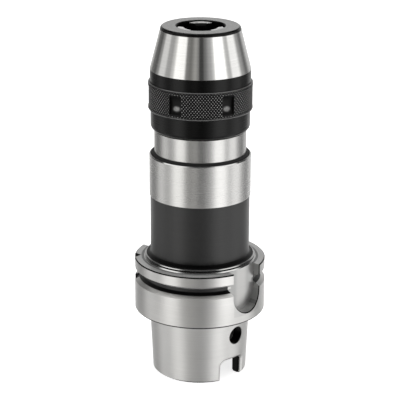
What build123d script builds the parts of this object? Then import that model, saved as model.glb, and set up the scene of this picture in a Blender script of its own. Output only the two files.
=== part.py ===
from build123d import *
import os
from math import cos, sin, tan, radians, degrees, sqrt, pi, atan2, floor

# Keyless drill chuck, 13 mm capacity, on a short extension with a hollow taper shank.
# Millimetres. +Z runs along the axis towards the nose. Z = 0 is the flange face that
# seats on the machine spindle, so the taper lies below it.

# ---------------------------------------------------------------- driving dimensions
# hollow taper shank, 63 mm flange
FLANGE_R = 31.5
FLANGE_T = 26.0
TAPER_LEN = 32.0
TAPER_R_AT_GAUGE = 24.005      # 6.3 mm below the flange face
TAPER_GAUGE = -6.3
TAPER_SLOPE = 0.05             # 1:10 on diameter
MOUTH_R = 17.6                 # entry bore of the shank
CLAMP_R = 17.0                 # clamping ring inside the shank
CAVITY_R = 19.0
CLAMP_Z = -18.13               # start of the 30 degree clamping shoulder
COOLANT_R = 8.46               # tapping bore of the M18x1 tube thread
KEY_W, KEY_TOP = 12.54, -21.9  # drive keyways in the end of the taper
KEY_AZ = 45.5                  # turned this far from the front (-Y), towards +X
KEY_CORNER, KEY_EDGE = 2.5, 1.9  # inner corners, and the rounding of the outer edges
SLOT_SIDE_AZ = 48.0            # azimuth of the flange slots and of the access hole
GROOVE_Z, GROOVE_HALF, GROOVE_FLOOR_R = 18.0, 3.1, 27.5
DRIVE_FLOOR = 26.5             # flat floor of the flange's drive slots, from the axis
DRIVE_A_W, DRIVE_B_W, DRIVE_END_Z = 18.0, 16.0, 4.8
DRIVE_EDGE = 0.45              # chamfer round the mouth of each drive slot
NOTCH_AZ, NOTCH_DEPTH, NOTCH_END_Z = -88.5, 3.2, 12.5
ACCESS_R, ACCESS_Z = 4.5, -9.5

# extension
HUB_R, HUB_TOP = 26.4, 27.6
DARK_R, STEP_Z = 23.75, 57.6
BRIGHT_R, LEDGE_Z = 24.2, 77.8
POCKET_R, POCKET_Z = 23.2, 76.6
SPIGOT_R, SPIGOT_Z = 17.0, 36.0

# chuck body
NECK_R, NECK_TOP = 21.8, 90.0
SHAFT_R, SHAFT_TOP = 17.5, 100.8
CUP_R, CUP_Z = 15.6, 84.5
SCREW_R = 9.0                  # feed screw, pitch diameter taken as a plain cylinder
RUN = 0.05                     # radial running clearance

# turning sleeve
NOSE_Z, NOSE_BORE_R = 139.1, 11.45
CONE_TOP_R, CONE_TOP_Z = 18.85, 138.0
CONE_BASE_R, CONE_BASE_Z = 23.75, 118.9
COLLAR_R, COLLAR_Z0, COLLAR_Z1 = 24.65, 99.5, 113.1
TUBE_R, TUBE_IN_R, TUBE_Z = 21.9, 20.4, 93.0
REAR_R, REAR_Z, REAR_ROUND = 23.5, 90.1, 1.9
SLOT_W, SLOT_Z0, SLOT_Z1, SLOT_CUT_R, SLOT_AZ = 6.0, 101.0, 111.3, 7.6, 1.7
N_SLOTS = 6

# jaws
JAW_AZ = (180.0, 60.0, -60.0)
JAW_LEAN = 16.0                # degrees between a jaw and the axis
JAW_R = 6.2
JAW_TOP = 138.4
JAW_C_TOP = 5.1 + 0.1 * tan(radians(JAW_LEAN))  # the jaw's centre line from the axis, at its top
GRIP_R = 7.0                   # gripping land, fully open
LAND_HALF = 2.2
HEAD_R, HEAD_Z0, HEAD_Z1 = 15.3, 85.7, 96.0
T_NECK, T_FOOT = 5.0, 8.4
T_GAP = 0.1
FOOT_Z0, FOOT_Z1 = 88.5, 92.3
FOOT_R0, FOOT_R1 = 10.4, 15.1
STROKE = 18.5                  # axial stroke of the feed screw
SCREW_LEAD = 2.5
GUIDE_Z0, GUIDE_Z1, GUIDE_SEAT_Z = 116.5, 136.1, 120.2
GUIDE_TOP_R = 16.3

# thrust bearing
BALL_R, BALL_PITCH_R, BALL_Z, N_BALLS = 1.0, 19.0, 94.9, 36

LEAN = tan(radians(JAW_LEAN))


# ---------------------------------------------------------------- helpers
def unit(az):
    """Direction at an azimuth counted from the front (-Y), positive towards +X."""
    a = radians(az)
    return Vector(sin(a), -cos(a), 0)


def turn_about(az):
    """Rotation about Z that carries +X to the azimuth az."""
    return az - 90.0


def outline(points):
    """Closed profile in the XZ plane from (r, z) or (r, z, corner radius)."""
    n = len(points)
    edges = []
    ends = []
    for i, p in enumerate(points):
        here = Vector(p[0], p[1])
        rad = p[2] if len(p) > 2 else 0.0
        if not rad:
            ends.append((here, here, None))
            continue
        a = Vector(*points[i - 1][:2]) - here
        b = Vector(*points[(i + 1) % n][:2]) - here
        ua, ub = a.normalized(), b.normalized()
        half = radians(ua.get_angle(ub)) / 2
        t = rad / tan(half)
        mid = (ua + ub).normalized()
        centre = here + mid * (rad / sin(half))
        ends.append((here + ua * t, here + ub * t, centre - mid * rad))
    for i in range(n):
        start, stop, arc = ends[i]
        if arc is not None:
            edges.append(ThreePointArc(start, arc, stop))
        nxt = ends[(i + 1) % n][0]
        if (nxt - stop).length > 1e-6:
            edges.append(Line(stop, nxt))
    return Plane.XZ * make_face(edges)


def turned(points):
    return revolve(outline(points), Axis.Z, 360)


def bar(r, z0, z1, x=0.0, y=0.0):
    return Pos(x, y, z0) * Cylinder(r, z1 - z0, align=(Align.CENTER, Align.CENTER, Align.MIN))


def block(x0, x1, y0, y1, z0, z1):
    return Pos((x0 + x1) / 2, (y0 + y1) / 2, (z0 + z1) / 2) * Box(x1 - x0, y1 - y0, z1 - z0)


def leaning_bar(r, top_z=160.0, bottom_z=60.0):
    """Cylinder along a jaw's line, in the plane y = 0, jaw on the +X side."""
    def at(z):
        return Vector(JAW_C_TOP + (JAW_TOP - z) * LEAN, 0, z)
    lo, hi = at(bottom_z), at(top_z)
    axis = (hi - lo).normalized()
    return Plane(origin=lo, x_dir=(0, 1, 0), z_dir=axis) * Cylinder(
        r, (hi - lo).length, align=(Align.CENTER, Align.CENTER, Align.MIN))


def around(shape, az):
    return Rot(0, 0, turn_about(az)) * shape


def taper_r(z):
    return TAPER_R_AT_GAUGE + (z - TAPER_GAUGE) * TAPER_SLOPE


parts = {}

# ---------------------------------------------------------------- holder
holder = turned([
    (0, 14.0),
    (COOLANT_R, 14.0),
    (COOLANT_R, 4.0),
    (COOLANT_R + 0.8, 3.2),
    (13.0, 3.2),
    (13.0, -1.0),
    (CAVITY_R, -1.0, 1.5),
    (CAVITY_R, CLAMP_Z + 2.0 / tan(radians(30))),
    (CLAMP_R, CLAMP_Z),
    (CLAMP_R, -21.5),
    (MOUTH_R, -21.5 - (MOUTH_R - CLAMP_R)),
    (MOUTH_R, -31.3),
    (MOUTH_R + 0.7, -TAPER_LEN),
    (taper_r(-TAPER_LEN) - 0.9, -TAPER_LEN),
    (taper_r(-TAPER_LEN + 0.9), -TAPER_LEN + 0.9),
    (taper_r(0), 0.0),
    (taper_r(0), 0.4),
    (25.0, 0.4),
    (25.0, 0.0),
    (FLANGE_R - 0.5, 0.0),
    (FLANGE_R, 0.5),
    (FLANGE_R, GROOVE_Z - GROOVE_HALF),
    (GROOVE_FLOOR_R, GROOVE_Z - 0.8, 0.4),
    (GROOVE_FLOOR_R, GROOVE_Z + 0.8, 0.4),
    (FLANGE_R, GROOVE_Z + GROOVE_HALF),
    (FLANGE_R, FLANGE_T - 0.5),
    (FLANGE_R - 0.5, FLANGE_T),
    (HUB_R + 0.5, FLANGE_T),
    (HUB_R, FLANGE_T + 0.5),
    (HUB_R, HUB_TOP - 0.3),
    (HUB_R - 0.3, HUB_TOP),
    (DARK_R, HUB_TOP, 1.5),
    (DARK_R, STEP_Z),
    (BRIGHT_R - 0.15, STEP_Z),
    (BRIGHT_R, STEP_Z + 0.15),
    (BRIGHT_R, LEDGE_Z - 0.4),
    (BRIGHT_R - 0.4, LEDGE_Z),
    (POCKET_R, LEDGE_Z),
    (POCKET_R, POCKET_Z),
    (SPIGOT_R + 0.6, POCKET_Z),
    (SPIGOT_R, POCKET_Z - 0.6),
    (SPIGOT_R, SPIGOT_Z),
    (5.0, SPIGOT_Z),
    (5.0, 18.5),
    (0, 18.5),
])
# drive keyways across the end of the taper, with rounded inner corners and rounded outer edges
cone = turned([(0, -TAPER_LEN - 1), (taper_r(-TAPER_LEN - 1), -TAPER_LEN - 1), (taper_r(-5), -5.0), (0, -5.0)])
key = block(-30, 30, -KEY_W / 2, KEY_W / 2, -TAPER_LEN - 3, KEY_TOP)
key = fillet(key.edges().filter_by(Axis.X).group_by(Axis.Z)[-1], KEY_CORNER)
keyed = cone - around(key, KEY_AZ)
rims = [e for e in keyed.edges()
        if -TAPER_LEN - 0.9 < e.center().Z < KEY_TOP + 0.1
        and abs(Vector(e.center().X, e.center().Y, 0).length - taper_r(e.center().Z)) < 0.25]
keyed = fillet(rims, KEY_EDGE)
holder -= cone - keyed


# drive slots in the flange: flat floor, round lower end, open at the upper face
def drive_slot(width):
    rad = width / 2
    zc = DRIVE_END_Z + rad
    s = block(DRIVE_FLOOR, FLANGE_R + 5, -rad, rad, zc, FLANGE_T + 2)
    end = Pos(DRIVE_FLOOR, 0, zc) * Rot(0, 90, 0) * Cylinder(
        rad, FLANGE_R + 5 - DRIVE_FLOOR, align=(Align.CENTER, Align.CENTER, Align.MIN))
    return s + end


disc = bar(FLANGE_R, 0, FLANGE_T)
slotted = disc - around(drive_slot(DRIVE_A_W), SLOT_SIDE_AZ) - around(drive_slot(DRIVE_B_W), SLOT_SIDE_AZ + 180)
rims = [e for e in slotted.edges()
        if 0.1 < e.center().Z < FLANGE_T - 0.1 and len([v for v in e.vertices()]) == 2
        and all(abs(Vector(p.X, p.Y, 0).length - FLANGE_R) < 0.02 for p in (e @ 0, e @ 0.5, e @ 1))
        and abs((e @ 0.37 - e @ 0).length) > 0.01
        and min(abs(degrees(atan2((e @ 0.5).X, -(e @ 0.5).Y)) - a) for a in (SLOT_SIDE_AZ, SLOT_SIDE_AZ - 180)) < 18.5]
slotted = chamfer(rims, DRIVE_EDGE)
holder -= disc - slotted

# 90 degree index notch
notch = Plane.XY.offset(NOTCH_END_Z) * make_face(Polyline(
    (FLANGE_R - NOTCH_DEPTH, 0), (FLANGE_R + 3, NOTCH_DEPTH + 3),
    (FLANGE_R + 3, -NOTCH_DEPTH - 3), close=True))
holder -= around(extrude(notch, FLANGE_T + 2 - NOTCH_END_Z), NOTCH_AZ)

# radial access hole through the taper
holder -= around(Pos(10, 0, ACCESS_Z) * Rot(0, 90, 0) * Cylinder(
    ACCESS_R, 20, align=(Align.CENTER, Align.CENTER, Align.MIN)), SLOT_SIDE_AZ)

# two dowel holes in the floor of the spigot bore
DOWEL_R, DOWEL_AT, DOWEL_Z0, DOWEL_Z1 = 2.5, 11.5, 29.0, 43.0
for s in (1, -1):
    holder -= bar(DOWEL_R, DOWEL_Z0, SPIGOT_Z + 1, x=s * DOWEL_AT)
parts["holder_body"] = holder

# ---------------------------------------------------------------- chuck body
BODY_FLOOR = 45.0
ORING_Z = 71.2
body = turned([
    (5.3, SPIGOT_Z),
    (SPIGOT_R - 1.0, SPIGOT_Z),
    (SPIGOT_R, SPIGOT_Z + 1.0),
    (SPIGOT_R, ORING_Z - 1.15),
    (SPIGOT_R - 1.4, ORING_Z - 1.15),
    (SPIGOT_R - 1.4, ORING_Z + 1.15),
    (SPIGOT_R, ORING_Z + 1.15),
    (SPIGOT_R, POCKET_Z),
    (NECK_R - 0.3, POCKET_Z),
    (NECK_R, POCKET_Z + 0.3),
    (NECK_R, NECK_TOP - 0.4),
    (NECK_R - 0.4, NECK_TOP),
    (SHAFT_R, NECK_TOP),
    (SHAFT_R, SHAFT_TOP - 0.4),
    (SHAFT_R - 0.4, SHAFT_TOP),
    (CUP_R + 0.4, SHAFT_TOP),
    (CUP_R, SHAFT_TOP - 0.4),
    (CUP_R, CUP_Z),
    (SCREW_R + RUN + 0.6, CUP_Z),
    (SCREW_R + RUN, CUP_Z - 0.6),
    (SCREW_R + RUN, BODY_FLOOR),
    (5.3, BODY_FLOOR),
])
for s in (1, -1):
    body -= bar(DOWEL_R, SPIGOT_Z - 1, DOWEL_Z1, x=s * DOWEL_AT)
# dimple in the shaft for the nut's grub screw
GRUB_R, GRUB_Z, GRUB_AZ = 1.0, 98.9, 90.0
body -= around(Pos(SHAFT_R - 0.7, 0, GRUB_Z) * Rot(0, 90, 0) * Cylinder(
    GRUB_R, 2, align=(Align.CENTER, Align.CENTER, Align.MIN)), GRUB_AZ)
parts["chuck_body"] = body

parts["drive_dowels"] = Compound(children=[
    Solid(turned([(0, DOWEL_Z0), (DOWEL_R - 0.4, DOWEL_Z0), (DOWEL_R, DOWEL_Z0 + 0.4),
                  (DOWEL_R, DOWEL_Z1 - 0.4), (DOWEL_R - 0.4, DOWEL_Z1), (0, DOWEL_Z1)]
                 ).solid().wrapped).moved(Location((s * DOWEL_AT, 0, 0)))
    for s in (1, -1)])

# socket-head screw that draws the body into the holder, and its washer
parts["clamp_washer"] = turned([(5.3, BODY_FLOOR), (8.6, BODY_FLOOR), (8.6, BODY_FLOOR + 1.2),
                                (5.3, BODY_FLOOR + 1.2)])
cap0 = BODY_FLOOR + 1.2
screw = turned([(0, 20.5), (4.2, 20.5), (5.0, 21.3), (5.0, cap0), (8.0, cap0),
                (8.0, cap0 + 8.6), (7.4, cap0 + 9.2), (0, cap0 + 9.2)])
screw -= Pos(0, 0, cap0 + 4.2) * extrude(RegularPolygon(8.0 / sqrt(3), 6), 6)
parts["body_clamp_screw"] = screw

# O-ring on the spigot
parts["body_oring"] = Pos(0, 0, ORING_Z) * Torus(SPIGOT_R - 0.7, 0.7)

# rubber lip ring that fills the joint between the holder and the neck
parts["joint_seal"] = turned([
    (NECK_R, POCKET_Z + 0.3),
    (NECK_R + 0.3, POCKET_Z),
    (POCKET_R - 0.05, POCKET_Z),
    (POCKET_R - 0.05, POCKET_Z + 0.9),
    (NECK_R + 0.5, POCKET_Z + 2.2),
    (NECK_R, POCKET_Z + 2.4),
])

# disc under the feed screw's head
parts["anti_jam_washer"] = turned([(9.6, CUP_Z), (15.3, CUP_Z), (15.3, CUP_Z + 1.0), (9.6, CUP_Z + 1.0)])

# seal ring between neck and sleeve
parts["dust_seal"] = turned([(SHAFT_R, NECK_TOP), (21.2, NECK_TOP), (21.2, NECK_TOP + 0.9),
                             (SHAFT_R, NECK_TOP + 0.9)])

# bearing nut with four spanner holes
NUT_Z0, NUT_Z1, NUT_R = 97.2, 100.6, 20.1
nut = turned([(SHAFT_R, NUT_Z0), (NUT_R, NUT_Z0), (NUT_R, NUT_Z1 - 0.4), (NUT_R - 0.4, NUT_Z1),
              (SHAFT_R + 0.3, NUT_Z1), (SHAFT_R, NUT_Z1 - 0.3)])
for az in (0, 90, 180, 270):
    d = unit(az + 45) * 18.85
    nut -= bar(0.7, NUT_Z1 - 1.6, NUT_Z1 + 1, d.X, d.Y)
nut -= around(Pos(SHAFT_R - 1, 0, GRUB_Z) * Rot(0, 90, 0) * Cylinder(
    GRUB_R, 6, align=(Align.CENTER, Align.CENTER, Align.MIN)), GRUB_AZ)
parts["bearing_nut"] = nut
grub = Pos(SHAFT_R - 0.6, 0, GRUB_Z) * Rot(0, 90, 0) * Cylinder(
    GRUB_R, NUT_R - SHAFT_R + 0.3, align=(Align.CENTER, Align.CENTER, Align.MIN))
grub -= Pos(NUT_R - 1.2, 0, GRUB_Z) * Rot(0, 90, 0) * extrude(RegularPolygon(0.55, 6), 2)
parts["nut_lock_screw"] = around(grub, GRUB_AZ)

# ---------------------------------------------------------------- thrust bearing
ball_bottom, ball_top = BALL_Z - BALL_R, BALL_Z + BALL_R
parts["thrust_washer_lower"] = turned([(17.8, 92.6), (20.25, 92.6), (20.25, ball_bottom - 0.03),
                                       (17.8, ball_bottom - 0.03)])
parts["thrust_washer_upper"] = turned([(SHAFT_R, ball_top + 0.03), (20.1, ball_top + 0.03),
                                       (20.1, NUT_Z0), (SHAFT_R, NUT_Z0)])
balls = []
cage = turned([(17.65, BALL_Z - 0.5), (20.3, BALL_Z - 0.5), (20.3, BALL_Z + 0.5), (17.65, BALL_Z + 0.5)])
for i in range(N_BALLS):
    d = unit(360.0 * i / N_BALLS) * BALL_PITCH_R
    balls.append(Pos(d.X, d.Y, BALL_Z) * Sphere(BALL_R))
    cage -= bar(BALL_R + 0.05, BALL_Z - 2, BALL_Z + 2, d.X, d.Y)
parts["thrust_balls"] = Compound(children=[Solid(b.solid().wrapped) for b in balls])
parts["ball_cage"] = cage

# ---------------------------------------------------------------- turning sleeve
cone_slope = (CONE_BASE_R - CONE_TOP_R) / (CONE_TOP_Z - CONE_BASE_Z)
nose_corner_r = CONE_TOP_R - (NOSE_Z - CONE_TOP_Z) * cone_slope
RING_Z0, RING_GROOVE_R = 115.2, 21.2
nose = turned([
    (NOSE_BORE_R, GUIDE_Z1),
    (NOSE_BORE_R, NOSE_Z - 0.35),
    (NOSE_BORE_R + 0.35, NOSE_Z),
    (nose_corner_r, NOSE_Z, 1.15),
    (CONE_BASE_R, CONE_BASE_Z),
    (CONE_BASE_R, COLLAR_Z1),
    (TUBE_R, COLLAR_Z1),
    (TUBE_R, TUBE_Z + 0.3),
    (TUBE_R - 0.3, TUBE_Z),
    (TUBE_IN_R, TUBE_Z),
    (TUBE_IN_R, RING_Z0),
    (RING_GROOVE_R, RING_Z0),
    (RING_GROOVE_R, GUIDE_Z0),
    (TUBE_IN_R, GUIDE_Z0),
    (TUBE_IN_R, GUIDE_SEAT_Z),
    (GUIDE_TOP_R, GUIDE_Z1),
])
guide = turned([
    (GRIP_R + 0.3, GUIDE_Z0 + 0.6),
    (GRIP_R + 0.9, GUIDE_Z0),
    (TUBE_IN_R, GUIDE_Z0),
    (TUBE_IN_R, GUIDE_SEAT_Z),
    (GUIDE_TOP_R, GUIDE_Z1),
    (NOSE_BORE_R, GUIDE_Z1),
    (NOSE_BORE_R, 129.4),
    (NOSE_BORE_R - 0.4, 129.0),
    (GRIP_R + 0.3, 129.0),
])
for az in JAW_AZ:
    way = around(leaning_bar(JAW_R + RUN), az)
    guide -= way
    nose -= around(leaning_bar(JAW_R + 0.2, 170, 128), az)
# axial dowels half in the guide, half in the sleeve
PIN_R, PIN_Z1 = 1.25, 120.0
pins = []
for az in (0, 120, 240):
    d = unit(az) * TUBE_IN_R
    pins.append(bar(PIN_R, GUIDE_Z0, PIN_Z1, d.X, d.Y))
    nose -= bar(PIN_R, GUIDE_Z0 - 0.001, PIN_Z1, d.X, d.Y)
    guide -= bar(PIN_R, GUIDE_Z0 - 0.001, PIN_Z1, d.X, d.Y)
parts["nose_sleeve"] = nose
parts["jaw_guide"] = guide
parts["guide_pins"] = Compound(children=[Solid(p.solid().wrapped) for p in pins])

# snap ring under the guide, with a gap at the back
snap = turned([(18.9, RING_Z0 + 0.1), (RING_GROOVE_R - 0.05, RING_Z0 + 0.1),
               (RING_GROOVE_R - 0.05, GUIDE_Z0), (18.9, GUIDE_Z0)])
snap -= around(block(17, 23, -2.2, 2.2, 114, 118), 150)
parts["guide_snap_ring"] = snap

# knurled collar with hook-spanner slots
collar = turned([
    (TUBE_R, COLLAR_Z0 + 0.0),
    (COLLAR_R - 0.8, COLLAR_Z0),
    (COLLAR_R, COLLAR_Z0 + 0.8),
    (COLLAR_R, COLLAR_Z1 - 0.45),
    (COLLAR_R - 0.45, COLLAR_Z1),
    (TUBE_R, COLLAR_Z1),
])
half = (SLOT_Z1 - SLOT_Z0) / 2
cut_centre = sqrt(SLOT_CUT_R ** 2 - half ** 2) + COLLAR_R
for i in range(N_SLOTS):
    cutter = Pos(cut_centre, 0, (SLOT_Z0 + SLOT_Z1) / 2) * Rot(90, 0, 0) * Cylinder(SLOT_CUT_R, SLOT_W)
    collar -= around(cutter, SLOT_AZ + 30 + i * 360 / N_SLOTS)
parts["knurled_ring"] = collar

# black band behind the collar, screwed on the tube
parts["rear_sleeve"] = turned([
    (SHAFT_R + RUN, 91.0),
    (22.05, 91.0),
    (22.05, REAR_Z + 0.13),
    (22.35, REAR_Z + 0.16),
    (REAR_R - 0.3, REAR_Z + 0.95),
    (REAR_R, REAR_Z + 1.9),
    (REAR_R, COLLAR_Z0),
    (TUBE_R, COLLAR_Z0),
    (TUBE_R, 92.6),
    (SHAFT_R + RUN, 92.6),
])

# ---------------------------------------------------------------- feed screw
feed = turned([
    (0, 57.0), (SCREW_R - 1.0, 57.0), (SCREW_R, 58.0), (SCREW_R, HEAD_Z0 - 0.2),
    (SCREW_R, HEAD_Z0), (HEAD_R - 0.4, HEAD_Z0), (HEAD_R, HEAD_Z0 + 0.4),
    (HEAD_R, HEAD_Z1 - 0.3), (HEAD_R - 0.3, HEAD_Z1), (4.0, HEAD_Z1), (4.0, 90.0), (0, 90.0),
])
for az in JAW_AZ:
    feed -= around(block(4.9, 18, -(T_NECK / 2 + T_GAP), T_NECK / 2 + T_GAP,
                         FOOT_Z0 - T_GAP, HEAD_Z1 + 1), az)
    feed -= around(block(4.9, 18, -(T_FOOT / 2 + T_GAP), T_FOOT / 2 + T_GAP,
                         FOOT_Z0 - T_GAP, FOOT_Z1 + T_GAP), az)
parts["jaw_screw"] = feed
parts["anvil"] = turned([(0, 90.0), (4.0, 90.0), (4.0, HEAD_Z1 + 0.1), (3.6, HEAD_Z1 + 0.5), (0, HEAD_Z1 + 0.5)])


# ---------------------------------------------------------------- jaws
def jaw():
    z_mid = 101.3
    rod = leaning_bar(JAW_R)
    corner = sqrt(GRIP_R ** 2 - LAND_HALF ** 2)
    dx, dy = 30 * cos(radians(59)), 30 * sin(radians(59))
    keep = Plane.XY.offset(90) * make_face(Polyline(
        (corner, LAND_HALF), (corner + dx, LAND_HALF + dy),
        (corner + dx, -LAND_HALF - dy), (corner, -LAND_HALF), close=True))
    wedge = extrude(keep, 60) - bar(GRIP_R, 80, 160)
    upper = rod & wedge & bar(20.0, z_mid, JAW_TOP)
    tail = rod & block(FOOT_R0, 18, -T_FOOT / 2, T_FOOT / 2, HEAD_Z1 + T_GAP, z_mid) & bar(FOOT_R1, 90, 110)
    neck = block(FOOT_R0, 18, -T_NECK / 2, T_NECK / 2, FOOT_Z1 - 0.2, HEAD_Z1 + 0.4) & bar(FOOT_R1, 80, 110)
    foot = block(FOOT_R0, 18, -T_FOOT / 2, T_FOOT / 2, FOOT_Z0, FOOT_Z1) & bar(FOOT_R1, 80, 110)
    shape = upper + tail + neck + foot
    # lead-in cone at the tip, and a small outer chamfer
    shape -= turned([(0, JAW_TOP - 1.0), (GRIP_R, JAW_TOP - 1.0), (GRIP_R + 1.0, JAW_TOP),
                     (GRIP_R + 1.0, JAW_TOP + 1), (0, JAW_TOP + 1)])
    return shape


for name, az in zip(("jaw_1", "jaw_2", "jaw_3"), JAW_AZ):
    parts[name] = around(jaw(), az)

# ---------------------------------------------------------------- write
os.makedirs("parts", exist_ok=True)
for name, shape in parts.items():
    shape.label = name
    export_step(shape, f"parts/{name}.step")
    print(name, len(shape.solids()), round(shape.volume, 2), shape.is_valid)
print("radial travel of a jaw", round(STROKE * LEAN, 3), "turns", STROKE / SCREW_LEAD)
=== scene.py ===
"""Looks of the drill chuck: camera, studio, the cut knurl and the finish of every piece.

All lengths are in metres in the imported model's own frame: +Z along the axis towards the jaws,
azimuth 0 towards -Y (the front), positive azimuth towards +X.
"""
import math

import bpy
from mathutils import Matrix, Vector


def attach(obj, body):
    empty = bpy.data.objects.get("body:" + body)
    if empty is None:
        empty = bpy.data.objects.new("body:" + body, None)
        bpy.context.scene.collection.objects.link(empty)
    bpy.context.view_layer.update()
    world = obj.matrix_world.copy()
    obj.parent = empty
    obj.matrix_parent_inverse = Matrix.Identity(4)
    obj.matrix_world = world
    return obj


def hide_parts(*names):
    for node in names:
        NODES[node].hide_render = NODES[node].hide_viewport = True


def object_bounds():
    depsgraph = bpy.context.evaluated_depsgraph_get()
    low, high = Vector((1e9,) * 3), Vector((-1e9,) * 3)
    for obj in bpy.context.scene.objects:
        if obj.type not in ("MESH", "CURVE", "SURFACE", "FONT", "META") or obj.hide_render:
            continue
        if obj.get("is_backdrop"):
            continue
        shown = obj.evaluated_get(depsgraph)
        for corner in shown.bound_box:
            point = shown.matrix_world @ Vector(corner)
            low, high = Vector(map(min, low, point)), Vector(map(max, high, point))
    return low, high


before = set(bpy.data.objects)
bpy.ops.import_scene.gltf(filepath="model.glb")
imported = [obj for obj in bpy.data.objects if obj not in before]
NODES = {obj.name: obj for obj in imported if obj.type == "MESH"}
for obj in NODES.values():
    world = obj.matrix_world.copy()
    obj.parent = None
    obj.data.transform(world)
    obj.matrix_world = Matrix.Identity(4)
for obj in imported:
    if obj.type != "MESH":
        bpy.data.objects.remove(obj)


def plain(b):
    return [[float(c) for c in p] for p in b]


SIZE = {"cad": plain(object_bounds())}
MM = 0.001
scene = bpy.context.scene

# ------------------------------------------------------------------ camera
TILT = 0.32616
ROLL = 0.00407
fwd = Vector((0, math.cos(TILT), -math.sin(TILT)))
right = Vector((1, 0, 0))
up = Vector((0, math.sin(TILT), math.cos(TILT)))
r2 = math.cos(ROLL) * right + math.sin(ROLL) * up
u2 = -math.sin(ROLL) * right + math.cos(ROLL) * up
cam = bpy.data.cameras.new("camera")
cam.sensor_fit = "HORIZONTAL"
cam.sensor_width = 36.0
cam.lens = 147.08
cam.clip_start = 0.01
cam.clip_end = 200.0
cam_o = bpy.data.objects.new("camera", cam)
scene.collection.objects.link(cam_o)
cam_o.matrix_world = Matrix((
    (r2.x, u2.x, -fwd.x, 0.0),
    (r2.y, u2.y, -fwd.y, -0.74145),
    (r2.z, u2.z, -fwd.z, 0.30462),
    (0, 0, 0, 1)))
scene.camera = cam_o

scene.view_settings.view_transform = "Standard"
scene.view_settings.look = "None"
scene.view_settings.exposure = 0.0
scene.view_settings.gamma = 1.0


# ------------------------------------------------------------------ node helper
class Tree:
    """Short calls that add shader nodes and link them; a float or a socket may be given anywhere."""

    def __init__(self, tree):
        self.t = tree
        self.t.nodes.clear()

    def new(self, kind, **props):
        n = self.t.nodes.new(kind)
        for k, v in props.items():
            setattr(n, k, v)
        return n

    def put(self, value, socket):
        if isinstance(value, bpy.types.NodeSocket):
            self.t.links.new(value, socket)
        elif isinstance(value, (tuple, list)) and len(value) == 3 and socket.type == "RGBA":
            socket.default_value = (*value, 1.0)
        else:
            socket.default_value = value

    def math(self, op, a, b=None, c=None, clamp=False):
        n = self.new("ShaderNodeMath", operation=op, use_clamp=clamp)
        self.put(a, n.inputs[0])
        if b is not None:
            self.put(b, n.inputs[1])
        if c is not None:
            self.put(c, n.inputs[2])
        return n.outputs[0]

    def add(self, a, b):
        return self.math("ADD", a, b)

    def mul(self, a, b):
        return self.math("MULTIPLY", a, b)

    def sub(self, a, b):
        return self.math("SUBTRACT", a, b)

    def step(self, v, lo, hi, a=0.0, b=1.0):
        """Smooth change from a to b as v goes from lo to hi."""
        n = self.new("ShaderNodeMapRange", interpolation_type="SMOOTHSTEP", clamp=True)
        self.put(v, n.inputs["Value"])
        n.inputs["From Min"].default_value = lo
        n.inputs["From Max"].default_value = hi
        n.inputs["To Min"].default_value = a
        n.inputs["To Max"].default_value = b
        return n.outputs["Result"]

    def linear(self, v, lo, hi, a=0.0, b=1.0):
        n = self.new("ShaderNodeMapRange", interpolation_type="LINEAR", clamp=True)
        self.put(v, n.inputs["Value"])
        n.inputs["From Min"].default_value = lo
        n.inputs["From Max"].default_value = hi
        n.inputs["To Min"].default_value = a
        n.inputs["To Max"].default_value = b
        return n.outputs["Result"]

    def band(self, v, lo, hi, soft):
        """1 between lo and hi, 0 outside, over a soft edge."""
        return self.mul(self.step(v, lo - soft, lo + soft), self.step(v, hi - soft, hi + soft, 1.0, 0.0))

    def mixf(self, f, a, b):
        n = self.new("ShaderNodeMix", data_type="FLOAT")
        self.put(f, n.inputs[0])
        self.put(a, n.inputs[2])
        self.put(b, n.inputs[3])
        return n.outputs[0]

    def mixc(self, f, a, b, blend="MIX"):
        n = self.new("ShaderNodeMix", data_type="RGBA", blend_type=blend)
        self.put(f, n.inputs[0])
        self.put(a, n.inputs[6])
        self.put(b, n.inputs[7])
        return n.outputs[2]

    def noise(self, vec, scale, detail=2.0, rough=0.5, distortion=0.0):
        n = self.new("ShaderNodeTexNoise", noise_dimensions="3D")
        self.put(vec, n.inputs["Vector"])
        n.inputs["Scale"].default_value = scale
        n.inputs["Detail"].default_value = detail
        n.inputs["Roughness"].default_value = rough
        n.inputs["Distortion"].default_value = distortion
        return n.outputs["Fac"]

    def vec(self, x, y, z):
        n = self.new("ShaderNodeCombineXYZ")
        self.put(x, n.inputs[0])
        self.put(y, n.inputs[1])
        self.put(z, n.inputs[2])
        return n.outputs[0]

    def ramp(self, f, stops, interp="LINEAR"):
        n = self.new("ShaderNodeValToRGB")
        cr = n.color_ramp
        cr.interpolation = interp
        while len(cr.elements) > 1:
            cr.elements.remove(cr.elements[-1])
        for i, (pos, col) in enumerate(stops):
            e = cr.elements[0] if i == 0 else cr.elements.new(pos)
            e.position = pos
            e.color = (*col, 1.0) if isinstance(col, (tuple, list)) else (col, col, col, 1.0)
        self.put(f, n.inputs[0])
        return n.outputs[0]


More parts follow.
